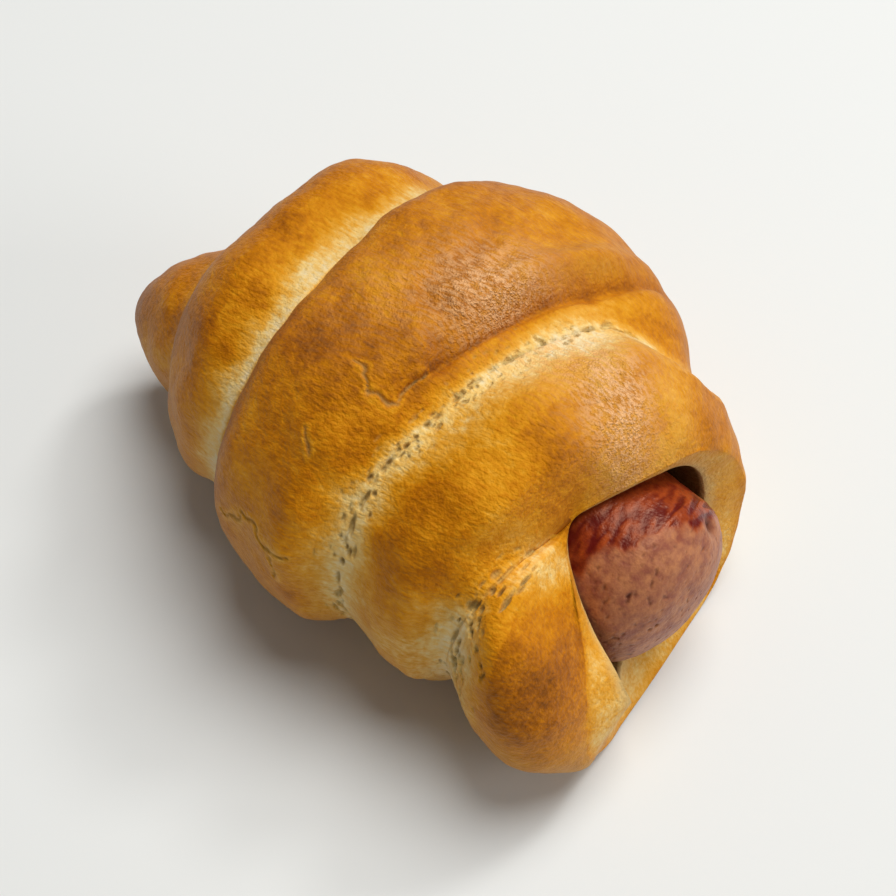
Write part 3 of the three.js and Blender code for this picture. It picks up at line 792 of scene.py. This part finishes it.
# %% [markdown]
# ## The sausage's mesh
# A sausage is a round bar with domed ends, which a lathed profile would give. Here its rows
# are worked out in its own frame, so that it bends with its axis, fits the hollow of the dough
# and has a front end that is a little flatter than a ball.

# %% Sausage grid
ROUND, SAUSAGE_ROWS, FRONT_ROWS, BACK_ROWS = 300, 120, 120, 40
last_round = np.arange(ROUND + 1) == ROUND


def sausage_grid():
    turned = np.radians(np.where(last_round, 0, TURN * np.arange(ROUND + 1) / ROUND))
    front, back = TIP[0] - FRONT_DOME, BACK_X + BACK_DOME
    rows = []
    for t in np.arange(BACK_ROWS + 1) / BACK_ROWS:
        quarter = math.pi / 2 * (1 - t)
        rows.append((back - BACK_DOME * math.sin(quarter), math.cos(quarter) if t > 0 else 0))
    for t in np.arange(1, SAUSAGE_ROWS + 1) / SAUSAGE_ROWS:
        rows.append((mix(back, front, t), 1.0))
    for t in np.arange(1, FRONT_ROWS + 1) / FRONT_ROWS:
        along, out = math.sin(math.pi / 2 * t), math.cos(math.pi / 2 * t) if t < 1 else 0
        size = (along ** FRONT_POWER + out ** FRONT_POWER) ** (-1 / FRONT_POWER)
        rows.append((front + FRONT_DOME * along * size, out * size))
    place = np.array([round_sausage(x + 0 * turned, SAUSAGE_RADIUS * r, turned) for x, r in rows])
    return {"place": place, "round": np.degrees(turned) + 0 * place[..., 0]}


meat_points, meat_faces, meat_fact = weld([sausage_grid()])
meat_normals = point_normals(meat_points, meat_faces)
print("sausage", len(meat_points), "points", open_edges(meat_faces), "open edges")

# %% [markdown]
# ## Skin, dimple and pits of the sausage
# At the open end the oily red skin stops at a ragged line, and below it the meat shows, with a
# dimple, a few pits and fine pores. Separate objects for skin and meat would need a visible
# joint. On the real sausage there is none, so both are one mesh, and each point keeps how much
# skin it has.

# %% Skin and streaks
RIDGE_AT, RIDGE_FACES = (37.8, -10.6, 29.7), (-0.72, 0.56, 0.40)  # edge of the skin
RIDGE_WAVES = [(2.0, 3.0, 31), (0.8, 1.2, 32)]  # depth, width and seed of its raggedness
SKIN_RUN, STREAK_RUN, STREAK_END, STREAK_FADE = 2.2, 1.5, 8, 4
STREAK_LONG, STREAK_WIDE, STREAK_DEPTH = 4.5, 0.9, 0.08
past_ridge = (meat_points - RIDGE_AT) @ np.array(RIDGE_FACES)
past_ridge += sum(depth * noise(meat_points, wide, seed) for depth, wide, seed in RIDGE_WAVES)
oily_skin = soft(past_ridge / SKIN_RUN + 0.5)
round_mm = np.radians(meat_fact["round"]) * SAUSAGE_RADIUS
streak_place = np.stack([
    round_mm / STREAK_LONG, meat_points[:, 0] / STREAK_WIDE, 0 * round_mm,
], axis=1)
streak = soft(0.5 + 2.2 * noise(streak_place, 1.0, 33)) * soft(past_ridge / STREAK_RUN)
streak = streak * soft((STREAK_END - past_ridge) / STREAK_FADE)
print("skin on", int((oily_skin > 0.5).sum()), "points")

# %% Dimple, pits and the finished sausage
DIMPLE_AT, DIMPLE_WIDTH, DIMPLE_DEPTH = (48.4, 4.4, 27.2), 1.9, 0.9
PITS = [(44.3, -12.0, 27.9), (44.9, -11.2, 28.0), (47.9, -11.1, 20.8), (48.6, -10.2, 20.9)]
PIT_WIDTH, PIT_DEPTH = 0.45, 0.4
PORE_SIZE, PORE_LIMIT, PORE_GAIN, PORE_DEPTH = 0.9, 0.36, 3.0, 0.10
SHRUNK = 0.15  # the relief's mean lies this far below the solid
dimple = hump(np.linalg.norm(meat_points - DIMPLE_AT, axis=1), DIMPLE_WIDTH)
pit_and_shade = sum(hump(np.linalg.norm(meat_points - at, axis=1), PIT_WIDTH) for at in PITS)
fine_pits = np.clip(noise(meat_points, PORE_SIZE, 34) - PORE_LIMIT, 0, 1) * PORE_GAIN
fine_pits = fine_pits * (1 - oily_skin)
meat_relief = 0.16 * noise(meat_points, 6.0, 21) + 0.10 * noise(meat_points, 2.2, 22) - SHRUNK
meat_relief -= DIMPLE_DEPTH * dimple + PIT_DEPTH * pit_and_shade + PORE_DEPTH * fine_pits
meat_relief -= STREAK_DEPTH * streak
meat_points = meat_points + meat_normals * meat_relief[:, None]
# the dimple, the pits and the fine pores are also darkened in the material: painted shade in these
# hollows
sausage = mesh_object("sausage_meat", meat_points, meat_faces, {
    "oily_skin": oily_skin, "streak": streak,
    "pit_and_shade": np.clip(0.9 * dimple + pit_and_shade + 0.5 * fine_pits, 0, 1),
})
print("relief of the sausage", span(meat_relief), "mm")

# %% [markdown]
# ## Colours, sizes and nodes
# Colours are written as the sRGB hex values that one sees, and one function turns them to the
# linear values that Blender mixes light in. A texture's scale says how many lumps fit in one
# metre, so it is worked out from the size of a lump in millimetres. Nodes could be placed by
# hand in the editor, but one function that adds a node with its settings and links keeps a
# whole material readable from top to bottom.

# %% Colour, scale and node helpers


def linear(hex_colour):
    parts = [int(hex_colour[i:i + 2], 16) / 255 for i in (1, 3, 5)]
    return [c / 12.92 if c <= 0.04045 else ((c + 0.055) / 1.055) ** 2.4 for c in parts] + [1.0]


def scale_for(size):
    """The scale of a texture whose lumps have a size in millimetres."""
    return 1 / (size * MM)


def add(tree, kind, inputs=None, out=0, ramp=(), **settings):
    """One node: its settings, its stops of colour, and each input linked or set to a value."""
    made = tree.nodes.new("ShaderNode" + kind)
    for name, value in settings.items():
        setattr(made, name, value)
    if ramp:
        stops = made.color_ramp.elements
        while len(stops) < len(ramp):
            stops.new(0.5)
        for stop, (at, hex_colour) in zip(stops, ramp):
            stop.position = at
            stop.color = linear(hex_colour)
    for name, value in (inputs or {}).items():
        if isinstance(value, bpy.types.NodeSocket):
            tree.links.new(value, made.inputs[name])
        else:
            made.inputs[name].default_value = value
    return made.outputs[out] if len(made.outputs) else made


def new_material(name, facts=()):
    """An empty material, its node tree, and what it reads from each point of the mesh."""
    material = bpy.data.materials.new(name)
    material.use_nodes = True
    tree = material.node_tree
    tree.nodes.clear()
    read = {fact: add(tree, "Attribute", out="Fac", attribute_name=fact) for fact in facts}
    return material, tree, read


print("golden crust in linear light", [round(part, 3) for part in linear("#D68C14")])
print("lumps of 5 mm need a scale of", scale_for(5))

# %% [markdown]
# ## Egg-washed, oven-browned yeast dough
# The baker brushes beaten egg on the raw dough. In the oven it dries to a thin, glossy,
# slightly leathery film, golden to orange-brown, and the sugar under it browns in fine
# mottles. Where the dough stretched after the brushing it has no film and stays cream and
# matt. A painted picture could carry this, but nodes driven by the browning of each point
# keep it sharp at any distance.

# %% Patterns of the crust, as sizes in millimetres
BLOTCH = 100 / 19  # slow patches of browning, nineteen in 100 mm
MOTTLE = 100 / 62  # mottles of browned sugar
BRUSH_MARK, MARK_SQUASH = 0.5, 0.34  # a hair's mark is 0.1 mm wide, drawn coarser to show
WRINKLE = 10 / 17  # the dried film wrinkles at 0.3 mm, drawn coarser to show
FILM_CELL = 10 / 22  # and so are the cells between the wrinkles
crust, tree, read = new_material("egg_washed_crust", dough_facts)
place = add(tree, "TexCoord", out="Object")
long_ways = add(tree, "Mapping", {"Vector": place, "Scale": (MARK_SQUASH, 1.0, 1.0)})
blotches = add(tree, "TexNoise", {"Vector": place, "Scale": scale_for(BLOTCH), "Detail": 2.0})
mottles = add(tree, "TexNoise", {
    "Vector": place, "Scale": scale_for(MOTTLE), "Detail": 4.0, "Roughness": 0.65,
})
brushed = add(tree, "TexNoise", {
    "Vector": long_ways, "Scale": scale_for(BRUSH_MARK), "Detail": 3.0,
})
wrinkles = add(tree, "TexNoise", {
    "Vector": place, "Scale": scale_for(WRINKLE), "Detail": 4.0, "Roughness": 0.6,
})
cells = add(tree, "TexVoronoi", {"Vector": place, "Scale": scale_for(FILM_CELL)}, out="Distance",
            feature="DISTANCE_TO_EDGE")
print("patterns of", [round(size, 2) for size in (BLOTCH, MOTTLE, BRUSH_MARK, WRINKLE)], "mm")

# %% Colour of the crust, from its browning
CRUST_COLOURS = [
    (0.00, "#EFDCAE"), (0.15, "#EDC678"), (0.30, "#E2A23A"), (0.45, "#D68C14"),
    (0.60, "#C27304"), (0.75, "#A25804"), (0.88, "#7E3E06"), (1.00, "#552608"),
]
browned = read["browning"]
for pattern, strength in ((mottles, 0.44), (blotches, 0.24), (brushed, 0.36)):
    centred = add(tree, "Math", {0: pattern, 1: strength, 2: -strength / 2},
                  operation="MULTIPLY_ADD")
    browned = add(tree, "Math", {0: browned, 1: centred}, operation="ADD")
crust_colour = add(tree, "ValToRGB", {"Fac": browned}, ramp=CRUST_COLOURS)
print("browning has", len(CRUST_COLOURS), "colours")

# %% Painted sheen, painted rim shade, painted shade in holes and bore, and the crumb over it
# painted highlight: in the leathery zones, peach flecks in the colour stand in for the egg film's
# sheen
sheen_flecks = add(tree, "MapRange", {"Value": brushed, 1: 0.43, 2: 0.59, 3: 0.14, 4: 0.96})
painted_sheen = add(tree, "Math", {0: read["leathery"], 1: sheen_flecks}, operation="MULTIPLY")
grazing = add(tree, "LayerWeight", {"Blend": 0.5}, out="Facing")
painted_rim_shade = add(tree, "Math", {0: grazing, 1: 3.0}, operation="POWER")
# laid over the browning one after the other: where, how strongly, colour
LAYERS = [
    (painted_sheen, 1.0, "#F2B87E"),  # painted highlight: peach glints of the egg film's sheen, laid into the colour
    (painted_rim_shade, 0.45, "#A86A3E"),  # painted shade: darker where the crust is seen edge on, at its outline
    # paler tan low on the near side, partly painted light on the shaded side
    (read["tan_and_painted_light"], 0.6, "#BC8C4C"),
    (read["blush"], 0.6, "#8E4A26"),
    # painted shade inside the pores, slits and cracks
    (read["hole_shade"], 1.0, "#A48E5C"),
    (read["crumb"], 1.0, "#D6B070"),
    # painted shade deep in the bore
    (read["bore"], 1.0, "#6A4A22"),
    (read["underside"], 1.0, "#8C5A2A"),
]
for where, strength, hex_colour in LAYERS:
    share = add(tree, "Math", {0: where, 1: strength}, operation="MULTIPLY")
    crust_colour = add(tree, "Mix", {0: share, 6: crust_colour, 7: linear(hex_colour)}, out=2,
                       data_type="RGBA")
print("layers over the browning", len(LAYERS))

# %% Gloss and grain of the crust
# Dried egg has an IOR of about 1.45. Bare crust is satin and the egg film glossier, a little
# more than the plain level of 0.5. The yolk tints the shine yellow where the film is thin.
CRUST_IOR, BARE_ROUGH, FILM_ROUGH, FILM_LEVEL = 1.45, 0.52, 0.25, 0.6
GRAIN_DEEP, GRAIN_STRENGTH = 0.3, 0.9  # millimetres, share
leather = add(tree, "Math", {0: cells, 1: read["leathery"]}, operation="MULTIPLY")
leather = add(tree, "Math", {0: leather, 1: 1.5, 2: wrinkles}, operation="MULTIPLY_ADD")
leather = add(tree, "Math", {0: brushed, 1: 0.8, 2: leather}, operation="MULTIPLY_ADD")
grain = add(tree, "Bump", {
    "Height": leather, "Strength": GRAIN_STRENGTH, "Distance": GRAIN_DEEP * MM,
})
rough = add(tree, "MapRange", {"Value": read["leathery"], 3: BARE_ROUGH, 4: FILM_ROUGH})
tint = add(tree, "Mix", {0: read["leathery"], 6: linear("#FFDD59"), 7: linear("#FFF0CC")}, out=2,
           data_type="RGBA")
shader = add(tree, "BsdfPrincipled", {
    "Base Color": crust_colour, "Roughness": rough, "Normal": grain, "IOR": CRUST_IOR,
    "Specular IOR Level": FILM_LEVEL, "Specular Tint": tint,
})
add(tree, "OutputMaterial", {"Surface": shader})
dough.data.materials.append(crust)
print(crust.name, len(tree.nodes), "nodes")

# %% [markdown]
# ## Smoked sausage
# A scalded sausage, smoked before it is baked in. Its thin skin has turned red-brown and
# sweats fat, which gives it a soft gloss, and the meat below is pink-brown, fine and a little
# rougher. Two materials on one mesh would show a hard line, so one material mixes both by how
# much skin a point has.

# %% Sausage material
MEAT_COLOURS = [(0.36, "#8C4E3C"), (0.66, "#B8784E")]
SKIN_COLOURS = [(0.36, "#742410"), (0.66, "#A4461A")]
SPOT = 100 / 52  # millimetres: spots of fat and lean
MINCE = 10 / 15  # the finest mince is 0.3 mm, drawn coarser to show
# Fat and water lie between 1.33 and 1.46. Minced meat is satin, the oily skin glossier.
MEAT_IOR, MEAT_ROUGH, SKIN_ROUGH = 1.42, 0.44, 0.30
meat, tree, read = new_material("smoked_sausage", ("oily_skin", "streak", "pit_and_shade"))
place = add(tree, "TexCoord", out="Object")
spots = add(tree, "TexNoise", {
    "Vector": place, "Scale": scale_for(SPOT), "Detail": 5.0, "Roughness": 0.7,
})
bare, skinned = (add(tree, "ValToRGB", {"Fac": spots}, ramp=colours)
                 for colours in (MEAT_COLOURS, SKIN_COLOURS))
meat_colour = bare
# the streaks are the skin's own colour; the dark in the dimple and pits is painted shade
for where, over in ((read["oily_skin"], skinned), (read["streak"], linear("#5E0F0C")),
                    (read["pit_and_shade"], linear("#4A1E14"))):
    meat_colour = add(tree, "Mix", {0: where, 6: meat_colour, 7: over}, out=2, data_type="RGBA")
mince = add(tree, "TexNoise", {"Vector": place, "Scale": scale_for(MINCE), "Detail": 3.0})
grain = add(tree, "Bump", {"Height": mince, "Strength": 0.4, "Distance": GRAIN_DEEP * MM})
gloss = add(tree, "MapRange", {"Value": read["oily_skin"], 3: MEAT_ROUGH, 4: SKIN_ROUGH})
shader = add(tree, "BsdfPrincipled", {
    "Base Color": meat_colour, "Roughness": gloss, "Normal": grain, "IOR": MEAT_IOR,
    "Specular Tint": linear("#FFD1B1"),
})
add(tree, "OutputMaterial", {"Surface": shader})
sausage.data.materials.append(meat)
print(meat.name, len(tree.nodes), "nodes")

# %% [markdown]
# ## Table
# A plain, pale, matt table top carries the roll and takes its shadow. A plane of the mesh menu
# would do as well as these four corners.

# %% Table top
TABLE_HALF = 3.0  # metres, wide enough to fill the picture from every side
TABLE_ROUGH, TABLE_LEVEL = 0.9, 0.2
corners = [(x * TABLE_HALF, y * TABLE_HALF, 0) for x, y in ((-1, -1), (1, -1), (1, 1), (-1, 1))]
floor_mesh = bpy.data.meshes.new("floor")
floor_mesh.from_pydata(corners, [], [(0, 1, 2, 3)])
floor = bpy.data.objects.new("floor", floor_mesh)
bpy.context.scene.collection.objects.link(floor)
pale_floor, tree, _ = new_material("plain_pale_floor")
shader = add(tree, "BsdfPrincipled", {
    "Base Color": linear("#E5E6E3"), "Roughness": TABLE_ROUGH, "Specular IOR Level": TABLE_LEVEL,
})
add(tree, "OutputMaterial", {"Surface": shader})
floor.data.materials.append(pale_floor)
print("table", 2 * TABLE_HALF, "m wide")

# %% [markdown]
# ## Light
# The photograph has one broad soft light from high behind, and a long soft shadow in front. A
# large disk lamp stands high over the far side for that. A smaller one behind it gives the
# egg-washed crust its gloss, a weak reflector on the right lifts the mouth, and a weak white
# sky fills the shadows. A sky picture could do it all, but lamps are easier to place.

# %% Lamps and sky
LIGHT_DISTANCE, SKY_STRENGTH = 1.2, 0.15
# name, elevation, azimuth, width of the lamp, power
LAMPS = [
    ("softbox_over", 73.0, 68.0, 0.85, 11.2), ("softbox_back", 49.0, 72.0, 0.24, 3.1),
    ("reflector_right", 24.0, 12.0, 0.6, 3.4),
]
sky = bpy.data.worlds.new("studio")
sky.use_nodes = True
background = sky.node_tree.nodes["Background"].inputs
background["Color"].default_value = linear("#FFFFFF")
background["Strength"].default_value = SKY_STRENGTH
bpy.context.scene.world = sky
for name, elevation, azimuth, width, power in LAMPS:
    lamp = bpy.data.lights.new(name, "AREA")
    lamp.shape, lamp.size, lamp.energy = "DISK", width, power
    lamp.color = linear("#FFFFFF")[:3]
    holder = bpy.data.objects.new(name, lamp)
    high, turned = math.radians(elevation), math.radians(azimuth)
    level = math.cos(high)
    towards = Vector((level * math.cos(turned), level * math.sin(turned), math.sin(high)))
    holder.location = towards * LIGHT_DISTANCE
    holder.rotation_euler = towards.to_track_quat("Z", "Y").to_euler()
    bpy.context.scene.collection.objects.link(holder)
bpy.context.scene.view_settings.view_transform = "Standard"
print("lamps", [lamp[0] for lamp in LAMPS])

# %% [markdown]
# ## Camera
# The photo was taken from the mouth's side of the roll, steeply from above. A constraint could
# aim the camera, but a place and a turn worked out from two angles can be fitted to the
# outline of the real roll, one number at a time.

# %% Camera
AZIMUTH, ELEVATION, DISTANCE = 32.0, 57.0, 268.0
LOOKS_AT = (10.8, -3.5, 26.0)
LENS, SENSOR = 76.34, 36.0
around, above = math.radians(AZIMUTH), math.radians(ELEVATION)
level = math.cos(above)
back = Vector((math.sin(around) * level, -math.cos(around) * level, math.sin(above)))
right = Vector((math.cos(around), math.sin(around), 0.0))
lens = bpy.data.cameras.new("camera")
lens.lens, lens.sensor_width = LENS, SENSOR
camera = bpy.data.objects.new("camera", lens)
spot = (Vector(LOOKS_AT) - Vector(ROLL_MIDDLE) + back * DISTANCE) * MM
turn_matrix = Matrix((right, back.cross(right), back)).transposed().to_4x4()
camera.matrix_world = Matrix.Translation(spot) @ turn_matrix
bpy.context.scene.collection.objects.link(camera)
bpy.context.scene.camera = camera
print("camera at", [round(part, 3) for part in spot], "m")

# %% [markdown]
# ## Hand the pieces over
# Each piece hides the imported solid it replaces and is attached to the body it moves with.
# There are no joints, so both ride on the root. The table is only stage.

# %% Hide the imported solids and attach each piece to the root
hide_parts("dough")
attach(dough, "root")
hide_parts("sausage")
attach(sausage, "root")
print("handed over", dough.name, sausage.name, "and the table as stage")
